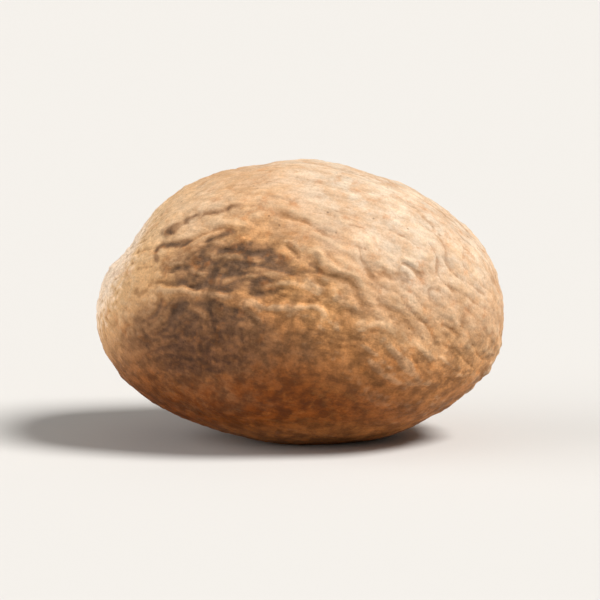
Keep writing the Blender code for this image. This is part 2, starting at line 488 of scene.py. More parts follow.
FOLDS = (
    *LONG_CREST,
    *SHADE_PAINTED_CREASES,
    # The short branches of the long crest.
    crest(0.08, 0.18, (-3.9, -0.1), (-3.2, -0.7), (-2.5, -1.2), (-2.0, -1.6)),
    crest(0.072, 0.18, (-1.0, -0.8), (0.2, -1.0), (1.0, -1.6), (1.3, -2.2)),
    crest(0.064, 0.20, (-6.9, 0.1), (-6.2, -0.5), (-5.6, -1.3)),
    # The folds between the two crests.
    crest(0.12, 0.24, (-3.6, 1.2), (-2.6, 1.6), (-1.6, 1.7), (-0.7, 1.4)),
    crest(0.112, 0.20, (-2.6, 1.0), (-1.2, 0.95), (0.2, 0.95), (1.0, 0.6)),
    lip(0.12, 0.24, (0.2, 1.5), (0.9, 1.2), (1.3, 0.7), (1.2, 0.2)),
    crease(0.17, 0.22, (-3.1, 0.8), (-2.1, 0.45), (-1.1, 0.35), (-0.2, 0.4)),
    crest(0.096, 0.22, (1.8, 0.9), (2.5, 0.4), (3.1, -0.2), (3.9, -0.7)),
    crease(0.096, 0.18, (1.6, -0.2), (2.4, -0.6), (3.1, -1.1)),
    crease(0.08, 0.24, (2.3, -2.7), (3.0, -2.9), (3.7, -2.8)),
    # The crest that turns down to the right, with its furrow under it, and the puckers in its crook.
    crest(
        0.20, 0.27, (-0.4, 3.8), (0.8, 3.2), (1.7, 2.4), (2.7, 2.0), (3.5, 1.7), (4.1, 0.9),
        (4.6, 0.0), (5.3, -0.8),
    ),
    crease(
        0.05, 0.20, (0.0, 3.0), (0.8, 2.4), (1.7, 1.8), (2.8, 1.5), (3.6, 0.8), (4.1, 0.0),
        (4.8, -0.6),
    ),
    crest(0.112, 0.17, (-1.2, 4.0), (-0.3, 3.6), (0.3, 3.0), (0.7, 2.4)),
    crease(0.096, 0.15, (-0.9, 3.5), (-0.2, 3.1), (0.2, 2.5)),
    crest(0.08, 0.16, (-1.7, 3.5), (-1.0, 3.0), (-0.5, 2.4)),
    # The diagonal crests above it.
    crest(0.096, 0.24, (-2.6, 6.3), (-1.2, 6.1), (0.4, 5.4), (2.1, 4.5)),
    crease(0.104, 0.18, (-1.9, 5.7), (-0.8, 5.4), (0.5, 4.9), (1.3, 4.3), (2.2, 3.8)),
    crest(0.072, 0.24, (1.0, 6.2), (2.4, 5.4), (3.3, 4.6)),
    crease(0.112, 0.20, (3.4, 3.7), (3.9, 2.7), (4.5, 1.8), (5.1, 1.0), (5.8, 0.3)),
    crest(0.096, 0.24, (4.2, 4.2), (4.7, 3.2), (5.4, 2.3), (6.2, 1.7)),
    crease(0.088, 0.20, (5.1, 5.0), (6.4, 4.2), (7.7, 3.4), (8.9, 2.2), (9.8, 0.9), (10.6, -0.6)),
    crest(0.08, 0.24, (6.2, 3.1), (7.2, 2.6), (8.1, 1.8), (8.9, 0.7)),
    crease(0.104, 0.17, (6.4, 2.6), (7.2, 2.2), (7.8, 1.6)),
    crease(0.096, 0.20, (6.2, 1.2), (7.3, 0.9), (8.1, 0.4)),
    crease(0.09, 0.23, (6.9, -1.0), (7.8, -1.4), (8.3, -1.7)),
    crease(0.09, 0.23, (9.0, -1.4), (9.7, -1.9), (10.5, -2.2)),
    crest(0.085, 0.28, (8.7, 0.1), (9.6, -0.9), (10.4, -1.8), (11.2, -2.8)),
    # The crests between the creases with painted shade.
    crest(0.09, 0.30, (-6.0, 4.7), (-4.8, 4.9), (-3.6, 4.7), (-2.9, 4.3)),
    crest(0.085, 0.20, (-7.8, 2.5), (-6.9, 2.3), (-6.2, 1.8), (-5.6, 1.6)),
    crest(0.08, 0.20, (-6.0, 3.0), (-5.0, 2.7), (-3.9, 2.7), (-3.0, 2.5)),
    # The crests that run down to the pit.
    crest(0.136, 0.25, (3.2, -1.6), (4.2, -1.5), (5.3, -1.6), (6.3, -2.1)),
    crest(0.095, 0.30, (6.7, -2.0), (8.0, -2.9), (9.2, -3.8), (10.3, -4.8)),
    crease(0.096, 0.20, (6.9, -3.2), (7.4, -4.0), (7.9, -4.9)),
    crest(0.08, 0.22, (5.6, -2.6), (6.5, -3.6), (7.0, -4.6)),
    crease(0.08, 0.20, (8.3, -2.4), (9.5, -3.1), (10.5, -3.9)),
)


@dataclass(frozen=True)
class CoarseForm:
    """What drying does to the whole egg: lobes, dimples, broad furrows, and the raphe."""

    furrow_spacing: float = 2.5 * MM
    furrow_depth: float = 0.20 * MM
    furrow_stretch: float = 3.2
    furrow_wander: float = 0.5 * MM
    valley_softness: float = 0.25
    furrow_seed: int = 11
    dimple_spacing: float = 7.0 * MM
    dimple_height: float = 0.07 * MM
    dimple_seed: int = 12
    flat_calm: float = 5.0 * MM
    collar_radius: float = 3.6 * MM
    pit_calm: float = 1.8 * MM
    raphe_angle: float = math.radians(158)
    raphe_width: float = 1.1 * MM
    raphe_depth: float = 0.34 * MM

    def calm_ends(self, places: Places) -> Array:
        """1 over most of the kernel, falling to 0 at the scar, the pit and the resting spot."""
        ends = (1 - bump(places.to_hilum, self.collar_radius)) * (1 - bump(places.to_chalaza, self.pit_calm))
        return ends * (1 - bump(places.distance_to((0, 0, -1)), self.flat_calm))

    def furrows(self, places: Places) -> Array:
        """Rounded crests with narrow valleys, drawn out from end to end.

        Args:
            places: The places on the egg.

        Returns:
            The depth times tanh(sqrt(ripple^2 + softness^2)) less its mean, none at the ends.
        """
        stream = np.random.default_rng(self.furrow_seed)
        wander = [places.ripples(self.dimple_spacing, stream, spread=0.0) for _ in range(3)]
        drawn = places.drawn_out(self.furrow_stretch, 1.0)
        drawn = drawn + self.furrow_wander * np.stack(wander, axis=1)
        ripples = random_waves(drawn, 2 * self.furrow_spacing, stream)
        crests = np.tanh(np.sqrt(ripples**2 + self.valley_softness**2))
        return self.calm_ends(places) * self.furrow_depth * (crests - crests.mean())

    def dimples(self, places: Places) -> Array:
        """Broad, shallow unevenness."""
        stream = np.random.default_rng(self.dimple_seed)
        return self.dimple_height * places.ripples(self.dimple_spacing, stream, spread=0.0)

    def raphe(self, places: Places) -> Array:
        """The groove from end to end on the far side.

        Args:
            places: The places on the egg.

        Returns:
            Less than 0 in the groove: a bump of the distance off its angle, shallow at both ends.
        """
        turn = np.angle(np.exp(1j * (places.around - self.raphe_angle)))
        off = turn * np.sin(places.from_hilum) * places.egg.height / 2
        return -self.raphe_depth * bump(off, self.raphe_width) * np.sin(places.from_hilum) ** 0.5

    def height(self, places: Places) -> Array:
        """The sum of the lobes, the dimples, the furrows and the raphe."""
        lobes = sum(lobe.height(places.d) for lobe in LOBES)
        return lobes + self.dimples(places) + self.furrows(places) + self.raphe(places)


@dataclass(frozen=True)
class Hilum:
    """The pale scar at the -X end: a low raised disc in a ring-shaped hollow, ribs round it."""

    radius: float = 1.35 * MM
    rise: float = 0.12 * MM
    tip_radius: float = 0.60 * MM
    tip_rise: float = 0.10 * MM
    moat_depth: float = 0.13 * MM
    moat: Span = (1.8, 0.55)  # its middle and its width, in radii
    rib_count: int = 27
    rib_height: float = 0.105 * MM
    rib_from: float = 0.3 * MM
    rib_to: float = 4.2 * MM
    rib_rise: float = 1.6 * MM
    rib_fall: float = 2.0 * MM
    rib_mean: float = 0.6
    ring_spacing: float = 0.85 * MM
    ring_height: float = 0.012 * MM
    rough: float = 0.018 * MM
    grain_spacing: float = 0.5 * MM
    waver: float = 0.16 * MM
    waver_spacing: float = 2.5 * MM
    fray: float = 0.08 * MM
    fray_spacing: float = 1.3 * MM
    seed: int = 21

    def height(self, places: Places) -> Array:
        """The scar's height.

        Args:
            places: The places on the egg.

        Returns:
            The disc exp(-(r / radius)^3) and its tip, less the moat, with ribs that follow the
            angle round and rings that follow r, the distance from the middle, a little frayed.
        """
        stream = np.random.default_rng(self.seed)
        grain = places.ripples(self.grain_spacing, stream, spread=0.4)
        waver = places.ripples(self.waver_spacing, stream)
        fray = places.ripples(self.fray_spacing, stream)
        away = np.maximum(places.to_hilum + self.waver * waver + self.fray * fray, 0)
        disc = np.exp(-((away / self.radius) ** 3))
        frayed = 1 + 0.4 * fray
        middle, width = self.moat
        moat = bump(away - middle * self.radius, width * self.radius) * frayed
        zone = smooth_step(away, self.rib_from, self.rib_from + self.rib_rise)
        zone = zone * (1 - smooth_step(away, self.rib_to, self.rib_to + self.rib_fall))
        ribs = np.abs(np.sin(self.rib_count / 2 * places.around + 1.1 * waver + 0.35 * fray))
        rings = np.cos(2 * math.pi * away / self.ring_spacing)
        return (
            (self.rise + self.rough * grain) * disc
            + self.tip_rise * bump(away, self.tip_radius)
            - self.moat_depth * moat
            + zone * (self.rib_height * frayed * (ribs - self.rib_mean) + self.ring_height * rings)
        )


@dataclass(frozen=True)
class Chalaza:
    """The dark pit at the +X end: its hole, its broken rim and the grooves that run into it."""

    radius: float = 0.90 * MM
    depth: float = 0.70 * MM
    rim_height: float = 0.06 * MM
    rim: Span = (2.1, 0.9)  # this one and the next two are a middle and a width, in radii
    lobe_zone: Span = (3.4, 1.8)
    groove_zone: Span = (2.0, 1.6)
    lobe_count: int = 9
    lobe_height: float = 0.03 * MM
    groove_count: int = 15
    groove_depth: float = 0.05 * MM
    groove_mean: float = 0.6
    rough: float = 0.05 * MM
    grain_spacing: float = 0.6 * MM
    waver: float = 0.16 * MM
    waver_spacing: float = 2.0 * MM
    seed: int = 22

    def ring(self, away: Array, zone: Span) -> Array:
        """A ring round the pit: a bump of the distance off the zone's middle."""
        return bump(away - zone[0] * self.radius, zone[1] * self.radius)

    def height(self, places: Places) -> Array:
        """The pit's height.

        Args:
            places: The places on the egg.

        Returns:
            The rim at about twice the hole's radius, less the hole, with rough skin in it, and
            with lobes and grooves that follow the angle round and fade outward.
        """
        stream = np.random.default_rng(self.seed)
        grain = places.ripples(self.grain_spacing, stream, spread=0.4)
        waver = places.ripples(self.waver_spacing, stream)
        away = places.to_chalaza + self.waver * waver
        hole = bump(away, self.radius)
        lobes = np.cos(self.lobe_count * places.around)
        grooves = np.abs(np.sin(self.groove_count / 2 * places.around + 0.8 * waver))
        return (
            self.rim_height * self.ring(away, self.rim) * (1 + 0.5 * waver)
            - self.depth * hole
            + self.rough * grain * bump(away, 2.2 * self.radius)
            + self.lobe_height * lobes * self.ring(away, self.lobe_zone)
            + self.groove_depth * (grooves - self.groove_mean) * self.ring(away, self.groove_zone)
        )


@dataclass(frozen=True)
class FineSkin:
    """The skin's own wrinkling: puckers at two sizes, a net of veins, pebbling and pores."""

    pucker_spacing: float = 0.95 * MM
    pucker_height: float = 0.135 * MM
    pucker_stretch: float = 4.0
    small_spacing: float = 0.50 * MM
    small_height: float = 0.050 * MM
    small_stretch: float = 3.6
    pucker_slope: float = 1.3
    pucker_softness: float = 0.03
    pucker_mean: float = 0.62
    pinch: float = 0.72
    wander: float = 0.34 * MM
    wander_spacing: float = 3.6 * MM
    vein_cell: float = 2.1 * MM
    vein_stretch: float = 1.9
    vein_height: float = 0.11 * MM
    vein_width: float = 0.17 * MM
    pebble_spacing: float = 0.46 * MM
    pebble_height: float = 0.010 * MM
    pore_cell: float = 1.5 * MM
    pore_radius: float = 0.17 * MM
    pore_depth: float = 0.07 * MM
    pore_share: float = 0.22
    drift_spacing: float = 6.0 * MM
    vein_drift_spacing: float = 5.0 * MM
    lane_width: float = 0.75 * MM
    hilum_calm: float = 4.6 * MM
    pit_calm: float = 3.0 * MM
    sole_calm: float = 4.0 * MM
    calmest: float = 0.80
    seed: int = 31
    calm_ovals: tuple[Oval, ...] = (
        Oval(5.6, 7.0, 6.4, 2.6),  # the shoulder
        Oval(-3.5, 7.6, 5.0, 1.6, 0.6),  # the brow
        Oval(-1.5, -6.6, 11.0, 4.0),  # the foot
        Oval(-6.0, -2.4, 4.5, 2.2, 0.35),  # the cheek
    )

    def strength(self, places: Places) -> Array:
        """How wrinkled the skin is.

        Args:
            places: The places on the egg.

        Returns:
            About 1 at most, and low in the calm ovals, at both ends, on the sole and beside the
            long crest.
        """
        stream = np.random.default_rng(self.seed)
        drift = places.ripples(self.drift_spacing, stream)
        smooth = sum(oval.share(places) for oval in self.calm_ovals)
        smooth = smooth + bump(places.to_hilum, self.hilum_calm)
        smooth = smooth + 0.5 * bump(places.to_chalaza, self.pit_calm)
        smooth = smooth + bump(places.distance_to((0, 0, -1)), self.sole_calm)
        smooth = smooth + 0.7 * near_folds(places, LONG_CREST, self.lane_width)
        calm = 1 - self.calmest * np.clip(smooth, 0, 1)
        return np.clip(calm * (0.85 + 0.18 * drift), 0, 1.2)

    def vein_share(self, places: Places) -> Array:
        """Where the veins stand out.

        Args:
            places: The places on the egg.

        Returns:
            Up to 1 all round the far side and the top, and up to 0.25 on the front.
        """
        stream = np.random.default_rng(self.seed + 1)
        drift = places.ripples(self.vein_drift_spacing, stream)
        behind = smooth_step(-places.facing, -0.35, 0.35)
        return smooth_step(drift, -1.2, 0.6) * (0.25 + 0.75 * behind)

    def pucker_field(
        self, places: Places, spacing: float, stretch: float, wander: Array, near_side: Array,
        stream: np.random.Generator,
    ) -> Array:
        """Rounded puckers with narrow valleys, which run from end to end and arch on the near side.

        Args:
            places: Where the puckers are wanted.
            spacing: From valley to valley.
            stretch: How many times longer than wide they are.
            wander: Three slow ripples for each place, which bend the puckers.
            near_side: 1 on the near side and 0 on the far side.
            stream: The random numbers.

        Returns:
            tanh(slope * sqrt(ripple^2 + softness)) less its mean, for the two flows, mixed by
            near_side.
        """
        bend = wander * self.wander * min(1.0, spacing / MM)
        fields = []
        for drawn in (places.drawn_out(stretch, self.pinch), places.arched(stretch)):
            drawn = drawn + bend[:, : drawn.shape[1]]
            ripple = random_waves(drawn, 2 * spacing, stream, spread=0.3)
            crests = np.tanh(self.pucker_slope * np.sqrt(ripple**2 + self.pucker_softness))
            fields.append(crests - self.pucker_mean)
        return (1 - near_side) * fields[0] + near_side * fields[1]

    def height(self, places: Places) -> tuple[Array, Array]:
        """The sum of the fine fields.

        Args:
            places: The places on the egg.

        Returns:
            (height, vein), where vein is 1 along the middle of a strong vein and 0 off it.
        """
        stream = np.random.default_rng(self.seed + 2)
        points = places.points
        wander = np.stack([places.ripples(self.wander_spacing, stream) for _ in range(3)], axis=1)
        near_side = smooth_step(places.facing, 0.1, 0.6)
        sizes = (self.pucker_spacing, self.pucker_stretch), (self.small_spacing, self.small_stretch)
        puckers, small = (self.pucker_field(places, *size, wander, near_side, stream) for size in sizes)
        drawn = places.drawn_out(self.vein_stretch, self.pinch) + 0.8 * self.wander * wander
        _, wall, tone = cell_pattern(drawn / self.vein_cell, self.seed)
        share = self.vein_share(places)
        vein = bump(wall * self.vein_cell, self.vein_width) * share
        hollow = smooth_step(wall * self.vein_cell, 0.0, 0.55 * self.vein_cell) * share
        pebbles = random_waves(points, self.pebble_spacing, stream, count=80, spread=0.35)
        to_seed, _, luck = cell_pattern(points / self.pore_cell, self.seed + 7)
        pores = bump(to_seed * self.pore_cell, self.pore_radius) * (luck < self.pore_share)
        strength = self.strength(places)
        height = (
            strength * (self.pucker_height * puckers + self.small_height * small)
            + (0.3 + 0.7 * strength) * self.vein_height * (vein - (0.35 + 0.3 * tone) * hollow)
            + self.pebble_height * pebbles
            - self.pore_depth * pores
        )
        return height, vein


def blurred(values: Array, quads: Whole, rounds: int) -> Array:
    """Values smoothed over a mesh of squares.

    Args:
        values: One number for each corner.
        quads: The four corners of each square.
        rounds: How often it is done.

    Returns:
        Each corner's value turned into the mean over its squares' means, so many rounds over.
    """
    corners = quads.ravel()
    share = 1 / np.bincount(corners)
    for _ in range(rounds):
        means = np.repeat(values[quads].mean(axis=1), 4)
        values = np.bincount(corners, weights=means) * share
    return values


@dataclass(frozen=True)
class SphereGrid:
    """A cube whose six sides are grids, blown up to a sphere, with the shared edges welded."""

    cells: int = 128
    margin: float = 0.012

    def directions(self, keys: Whole) -> Array:
        """The unit vectors of lattice places.

        Args:
            keys: The places, numbered row by row and layer by layer.

        Returns:
            tan(c pi / 4) of each coordinate c from -1 to 1, scaled to length 1.
        """
        side = self.cells + 1
        lattice = np.stack([keys // (side * side), keys // side % side, keys % side], axis=1)
        return unit(np.tan((2 * lattice / self.cells - 1) * math.pi / 4))

    def build(self) -> tuple[Array, Whole, Array]:
        """Makes the sphere.

        Returns:
            (the vertices' directions; each square's corners; the places of those corners on a flat
            sheet, where every cube side has a tile of its own).
        """
        side = self.cells + 1
        i, j = np.meshgrid(np.arange(side), np.arange(side), indexing="ij")
        keys, tiles = [], []
        for tile, (axis, outer) in enumerate((a, o) for a in range(3) for o in (0, self.cells)):
            first, second = (axis + 1) % 3, (axis + 2) % 3
            if outer == 0:
                first, second = second, first
            lattice = np.zeros((side, side, 3), np.int64)
            lattice[..., axis] = outer
            lattice[..., first] = i
            lattice[..., second] = j
            keys.append((lattice[..., 0] * side + lattice[..., 1]) * side + lattice[..., 2])
            across, up = i / self.cells, j / self.cells
            if first == 0:
                across, up = 1 - up, across
            across = (tile % 3 + self.margin + (1 - 2 * self.margin) * across) / 3
            up = (tile // 3 + self.margin + (1 - 2 * self.margin) * up) / 2
            tiles.append(np.stack([across, up], axis=-1))
        welded, index = np.unique(np.stack(keys), return_inverse=True)
        index = index.reshape(6, side, side)
        quads = self.corners(index[..., None])[..., 0].reshape(-1, 4)
        sheet = self.corners(np.stack(tiles)).reshape(-1, 2)
        return self.directions(welded), quads, sheet

    def corners(self, grid: NDArray) -> NDArray:
        """The four corners of each square of the six grids, anticlockwise seen from outside."""
        return np.stack(
            [grid[:, :-1, :-1], grid[:, 1:, :-1], grid[:, 1:, 1:], grid[:, :-1, 1:]], axis=3
        )


class Desk:
    """Adds nodes to one tree and joins them, so that a finish reads as a list of steps."""

    def __init__(self, tree: bpy.types.NodeTree) -> None:
        """Takes the node tree of a material or of the world."""
        self.tree = tree

    def add(self, kind: str, inputs: Inputs | None = None, **settings: object) -> bpy.types.Node:
        """Adds a node.

        Args:
            kind: The node's type.
            inputs: What feed gives it.
            settings: Its other settings, by name.

        Returns:
            The node.
        """
        node = self.tree.nodes.new(kind)
        for name, value in settings.items():
            setattr(node, name, value)
        self.feed(node, inputs or {})
        return node

    def feed(self, node: bpy.types.Node, inputs: Inputs) -> None:
        """Fills a node's inputs.

        Args:
            node: The node.
            inputs: For an input's name or number, a socket to join to it or its plain value.
        """
        for name, value in inputs.items():
            if isinstance(value, bpy.types.NodeSocket):
                self.tree.links.new(value, node.inputs[name])
            else:
                node.inputs[name].default_value = value

    def attribute(self, name: str, output: str = "Fac") -> Socket:
        """One of the skin's own attributes."""
        return self.add("ShaderNodeAttribute", attribute_name=name).outputs[output]

    def noise(self, place: Socket, size: float, detail: float = 2.0, rough: float = 0.5) -> Socket:
        """Cloudy noise about 0.5 whose clouds are size metres apart."""
        inputs = {"Vector": place, "Scale": 1 / size, "Detail": detail, "Roughness": rough}
        return self.add("ShaderNodeTexNoise", inputs).outputs["Fac"]

    def clouds(
        self, place: Socket, size: float, low: float, high: float, to: float = 1.0, **noise: float
    ) -> Socket:
        """A smooth step of cloudy noise, from 0 at low to its height at high."""
        return self.step(self.noise(place, size, **noise), low, high, to)

    def dots(self, place: Socket, size: float, radius: float, share: float) -> Socket:
        """Round dots, at most one in each random cell.

        Args:
            place: The place that the cells are worked out from.
            size: A cell's width.
            radius: A dot's radius.
            share: The share of the cells that have one.

        Returns:
            1 in a dot and 0 outside it.
        """
        cell = self.add("ShaderNodeTexVoronoi", {"Vector": place, "Scale": 1 / size})
        dot = self.step(cell.outputs["Distance"], radius / size, 0.35 * radius / size)
        tone = self.add("ShaderNodeSeparateColor", {"Color": cell.outputs["Color"]})
        return self.math("MULTIPLY", dot, self.math("LESS_THAN", tone.outputs["Red"], share))

    def step(self, value: Socket, low: float, high: float, to: float = 1.0) -> Socket:
        """A smooth step.

        Args:
            value: What it is a step of.
            low: Where it is 0. It may be more than high.
            high: Where it is at its height.
            to: Its height.

        Returns:
            0 at low and to at high, smooth between them.
        """
        start, end, first, last = (low, high, 0.0, to) if low <= high else (high, low, to, 0.0)
        inputs = {"Value": value, "From Min": start, "From Max": end, "To Min": first, "To Max": last}
        return self.add("ShaderNodeMapRange", inputs, interpolation_type="SMOOTHSTEP").outputs["Result"]

    def math(self, operation: str, a: object, b: object, c: float = 0.5) -> Socket:
        """a, b and c under a math node's operation. Most of them leave c out."""
        return self.add("ShaderNodeMath", {0: a, 1: b, 2: c}, operation=operation).outputs["Value"]

    def mix(self, under: object, over: object, share: object) -> Socket:
        """The color over laid on the color under, by that share."""
        inputs = {"Factor": share, 6: under, 7: over}
        return self.add("ShaderNodeMix", inputs, data_type="RGBA", blend_type="MIX").outputs[2]

    def shade(self, color: Socket, value: Socket, low: float, high: float) -> Socket:
        """The color times low where the value is 0, and times high where it is 1."""
        scale = self.add("ShaderNodeMapRange", {"Value": value, "To Min": low, "To Max": high}).outputs[0]
        return self.add("ShaderNodeVectorMath", {0: color, "Scale": scale}, operation="SCALE").outputs[0]

    def bump(self, height: Socket, distance: float, under: Socket | None = None) -> Socket:
        """A normal bent by the height, which stands for distance metres from 0 to 1."""
        inputs = {"Height": height, "Distance": distance} | ({} if under is None else {"Normal": under})
        return self.add("ShaderNodeBump", inputs).outputs["Normal"]


class SkinDesk(Desk):
    """A desk with what the skin's finish reads: the place, the flow and the skin's tones."""

    def __init__(self, tree: bpy.types.NodeTree) -> None:
        """Adds the nodes that read them.

        Args:
            tree: A material's node tree.
        """
        super().__init__(tree)
        self.place = self.add("ShaderNodeTexCoord").outputs["Object"]
        self.flow = self.attribute("flow", "Vector")
        self.crest = self.attribute("crest")
        self.pale = self.attribute("pale")
        self.collar = self.attribute("collar")
        self.blush_and_shade = self.attribute("blush_and_shade")
        self.patch = self.attribute("patch")
        self.bloom = self.attribute("bloom")


@dataclass(frozen=True)
class SkinFinish:
    """The dry skin: tan with paler crests and darker furrows, grey-brown patches and pale bloom.

    The crests and furrows, the paler top, the straw round the scar and the foot are partly painted
    light and shade.
    """

    tan: Color = (0.49, 0.25, 0.105, 1)
    honey: Color = (0.52, 0.27, 0.108, 1)
    # cream: the paler tan, partly painted light towards the top and the +X end.
    cream: Color = (0.65, 0.515, 0.383, 1)
    # straw: the pale skin round the scar, partly painted light on the left rim.
    straw: Color = (0.86, 0.575, 0.31, 1)
    # crest_highlight: a paler tan laid on the crests, partly painted highlight.
    crest_highlight: Color = (0.72, 0.52, 0.33, 1)
    umber: Color = (0.25, 0.105, 0.03, 1)
    # rust, russet and painted_shadow are laid by blush_and_shade towards the foot: a redder brown that is
    # partly painted shade, and painted shadow at the lower left. Rust is also laid at random.
    rust: Color = (0.46, 0.165, 0.04, 1)
    russet: Color = (0.20, 0.052, 0.006, 1)
    painted_shadow: Color = (0.10, 0.02, 0.001, 1)
    bruise: Color = (0.25, 0.128, 0.060, 1)
    ash: Color = (0.123, 0.070, 0.041, 1)
    chalk: Color = (0.93, 0.75, 0.59, 1)
    pitch: Color = (0.05, 0.024, 0.012, 1)
    roughness: float = 0.51
    roughness_range: float = 0.22
    dusty_roughness: float = 0.15
    specular: float = 0.14
    relief: float = 0.034 * MM
    matt_size: float = 0.8 * MM
    grain_size: float = 0.20 * MM
    fibre_size: float = 0.12 * MM
    cloud_size: float = 3.0 * MM
    pale_size: float = 1.2 * MM
    streak_size: float = 0.35 * MM
    dark_streak_size: float = 0.5 * MM
    stain_size: float = 1.0 * MM
    spot_size: float = 0.9 * MM
    blotch_size: float = 0.85 * MM
    mottle_size: float = 0.45 * MM
    speck_size: float = 0.13 * MM
    dot_cell: float = 0.75 * MM
    dot_radius: float = 0.10 * MM

    def build(self) -> bpy.types.Material:
        """Makes the material.

        Returns:
            A material that reads the skin's attributes crest, pale, collar, blush_and_shade, patch,
            bloom and flow.
        """
        material = bpy.data.materials.new("dry_skin")
        material.use_nodes = True
        desk = SkinDesk(material.node_tree)
        color = self.speckles(desk, self.stains(desk, self.ground(desk)))
        matt = desk.noise(desk.place, self.matt_size, 3.0)
        rough = desk.math("MULTIPLY_ADD", matt, self.roughness_range, self.roughness)
        dusty = desk.math("MULTIPLY", desk.bloom, self.dusty_roughness)
        grain = desk.bump(desk.noise(desk.place, self.grain_size, 4.0, 0.62), self.relief)
        fibre = desk.noise(desk.flow, self.fibre_size, 3.0, 0.6)
        desk.feed(
            material.node_tree.nodes["Principled BSDF"],
            {
                "Base Color": color,
                "Roughness": desk.math("ADD", rough, dusty),
                "Specular IOR Level": self.specular,
                "Normal": desk.bump(fibre, self.relief, grain),
            },
        )
        return material

    def ground(self, desk: SkinDesk) -> Socket:
        """The skin's brown, with painted light and shade.

        Args:
            desk: The material's desk.

        Returns:
            Clouds of tan and honey, with cream towards the top and the +X end, straw round the scar, a
            redder brown towards the foot, paler crests and darker furrows. The cream and the straw are
            partly painted light, the foot partly painted shade and shadow, and the crests and furrows partly
            painted highlight and shade.
        """
        clouds = desk.clouds(desk.place, self.cloud_size, 0.35, 0.65, 0.7, detail=3.0)
        color = desk.mix(self.tan, self.honey, clouds)
        # Cream by the pale attribute, towards the top and the +X end: partly the skin's paler tan, partly
        # painted light where the key falls.
        patchy = desk.clouds(desk.place, self.pale_size, 0.3, 0.7, 0.55, detail=3.0, rough=0.6)
        pale = desk.math("MULTIPLY", desk.pale, desk.math("ADD", patchy, 0.52))
        color = desk.mix(color, self.cream, pale)
        # By blush_and_shade: rust, then russet, a redder brown that is partly painted shade under the
        # kernel, then painted_shadow, a painted shadow at the lower left.
        color = desk.mix(color, self.rust, desk.step(desk.blush_and_shade, 0.0, 0.25, 0.35))
        color = desk.mix(color, self.russet, desk.step(desk.blush_and_shade, 0.0, 0.85))
        color = desk.mix(color, self.painted_shadow, desk.step(desk.blush_and_shade, 0.8, 1.0, 0.45))
        # Straw round the scar: partly the pale skin there, partly painted light on the left rim; it fades
        # towards the foot.
        color = desk.mix(color, self.straw, desk.collar)
        # Painted highlight: the crest_highlight colour on the crests, away from the foot; partly the crests'
        # own paler tan.
        off_foot = desk.step(desk.blush_and_shade, 0.9, 0.1)
        painted_highlight = desk.math("MULTIPLY", desk.step(desk.crest, 0.58, 1.0, 0.34), off_foot)
        color = desk.mix(color, self.crest_highlight, painted_highlight)
        # Painted shade: umber in the furrows, where the relief is low; partly their own darker brown.
        color = desk.mix(color, self.umber, desk.step(desk.crest, 0.40, 0.0, 0.50))
        streaks = desk.clouds(desk.flow, self.streak_size, 0.3, 0.7, detail=3.0, rough=0.6)
        return desk.shade(color, streaks, 0.94, 1.07)

    def stains(self, desk: SkinDesk, color: Socket) -> Socket:
        """Brown patches with grey cores and ragged edges, and the pale bloom.

        Args:
            desk: The material's desk.
            color: The skin's brown from ground, with its painted light and shade.

        Returns:
            The brown with the patches, thin on the crests, and with the bloom over them.
        """
        ragged = desk.noise(desk.place, self.stain_size, 4.0, 0.62)
        patch = desk.step(desk.math("ADD", desk.patch, ragged), 0.80, 1.42)
        patch = desk.math("MULTIPLY", patch, desk.step(desk.crest, 1.6, 0.45))
        # Towards the foot the patches turn russet and their grey cores painted_shadow: painted shade.
        foot = desk.step(desk.blush_and_shade, 0.0, 0.9, 0.45)
        color = desk.mix(color, desk.mix(self.bruise, self.russet, foot), patch)
        spots = desk.noise(desk.place, self.spot_size, 4.0, 0.6)
        core = desk.math("SUBTRACT", desk.math("ADD", desk.patch, spots), desk.crest)
        grey = desk.mix(self.ash, self.painted_shadow, foot)
        color = desk.mix(color, grey, desk.step(core, 0.66, 1.30, 0.95))
        dust = desk.math("ADD", desk.bloom, desk.noise(desk.flow, self.mottle_size, 4.0, 0.65))
        dust = desk.math("ADD", dust, desk.step(desk.crest, 0.2, 0.8, 0.25))
        near = desk.step(desk.bloom, 0.03, 0.25)
        dust = desk.math("MULTIPLY", desk.step(dust, 0.75, 1.65, 0.9), near)
        return desk.mix(color, self.chalk, dust)

    def speckles(self, desk: SkinDesk, color: Socket) -> Socket:
        """Blotches, fine mottling, short dark streaks along the grain, and dark points.

        Args:
            desk: The material's desk.
            color: The stained skin.

        Returns:
            The color with all of them, the streaks and the points mostly in the furrows.
        """
        rusty = desk.clouds(desk.place, self.spot_size, 0.52, 0.72, 0.35, detail=4.0, rough=0.6)
        color = desk.mix(color, self.rust, rusty)
        blotches = desk.clouds(desk.place, self.blotch_size, 0.36, 0.64, detail=3.0, rough=0.6)
        dark_ground = desk.step(desk.math("ADD", desk.pale, desk.collar), 0.45, 0.0)
        color = desk.mix(color, desk.shade(color, blotches, 0.70, 1.32), dark_ground)
        mottle = desk.clouds(desk.flow, self.mottle_size, 0.25, 0.75, detail=4.0, rough=0.62)
        color = desk.shade(color, mottle, 0.86, 1.14)
        specks = desk.clouds(desk.place, self.speck_size, 0.25, 0.75, detail=2.0, rough=0.6)
        color = desk.shade(color, specks, 0.88, 1.11)
        streaks = desk.clouds(desk.flow, self.dark_streak_size, 0.60, 0.72, 0.5, detail=4.0, rough=0.7)
        streaks = desk.math("MULTIPLY", streaks, desk.step(desk.crest, 0.75, 0.35))
        color = desk.mix(color, self.umber, streaks)
        dots = desk.dots(desk.place, self.dot_cell, self.dot_radius, 0.45)
        dots = desk.math("MULTIPLY", dots, desk.step(desk.crest, 0.95, 0.45, 0.5))
        return desk.mix(color, self.pitch, dots)


